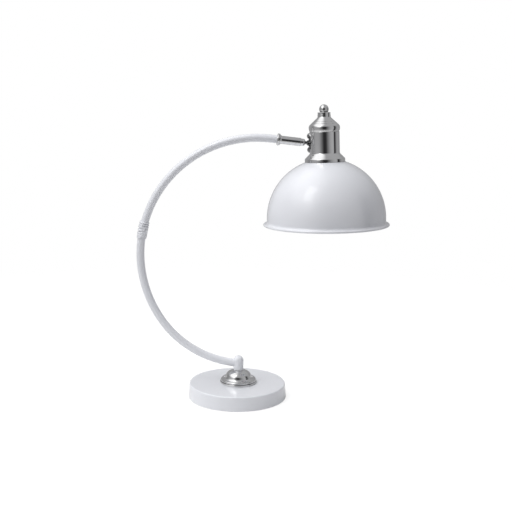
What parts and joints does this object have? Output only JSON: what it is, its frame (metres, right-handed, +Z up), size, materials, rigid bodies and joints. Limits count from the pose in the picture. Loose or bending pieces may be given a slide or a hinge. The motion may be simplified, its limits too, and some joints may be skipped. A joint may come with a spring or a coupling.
{
  "type": "desk lamp",
  "caption": "Desk lamp with a round weighted base, a C-shaped tube arm with a wrapped joint, and a domed shade under a bright cup that tilts on the arm's end.",
  "frame": {"origin": "centre of the base on the table", "axes": "+Z up, +X from the base towards the shade in the plane of the arm, +Y to the lamp's left side seen from the shade's end"},
  "size_m": [0.4034, 0.2, 0.4745],
  "materials": {
    "white_enamel": "gloss",
    "bright_metal": "polished",
    "zinc_steel": "zinc plated",
    "cast_weight": "as cast",
    "foot_pad": "soft foam",
    "white_plastic": "moulded",
    "block_plastic": "moulded",
    "brass_contact": "satin",
    "holder_ceramic": "unglazed",
    "wire_cover": "extruded",
    "cap_metal": "satin",
    "black_glass": "gloss",
    "frosted_glass": "frosted"
  },
  "bodies": {
    "stand": {"base_pad": "foot_pad", "base_weight": "cast_weight", "base_cover": "white_enamel", "cord_gland": "white_plastic", "terminal_block": "block_plastic", "terminal_screws": "brass_contact", "base_nipple": "zinc_steel", "base_washer": "zinc_steel", "base_nut": "zinc_steel", "base_dome": "bright_metal", "arm_post": "white_enamel", "lower_arm": "white_enamel", "upper_arm": "white_enamel", "joint_spigot": "zinc_steel", "wrap_rings": "white_enamel", "joint_wrap": "white_enamel", "arm_wires": "wire_cover", "end_ferrule": "bright_metal", "knuckle": "bright_metal"},
    "head": {"pivot_bracket": "bright_metal", "trunnion_screws": "bright_metal", "bracket_screws": "bright_metal", "bracket_nuts": "zinc_steel", "lamp_cup": "bright_metal", "cup_cap": "bright_metal", "finial_collar": "bright_metal", "finial": "bright_metal", "head_rod": "zinc_steel", "head_nut": "zinc_steel", "shade": "white_enamel", "shade_ring": "white_plastic", "holder_shell": "white_plastic", "holder_cap": "white_plastic", "holder_core": "holder_ceramic", "screw_shell": "brass_contact", "centre_contact": "brass_contact", "head_wires": "wire_cover", "bulb_cap": "cap_metal", "bulb_tip": "black_glass", "bulb_glass": "frosted_glass"}
  },
  "joints": [
    {"name": "head_tilt", "type": "hinge", "parent": "stand", "child": "head", "pos_m": [0.10848, 0, 0.41472], "axis": [0, -1, 0], "range_deg": [-40, 30]}
  ]
}
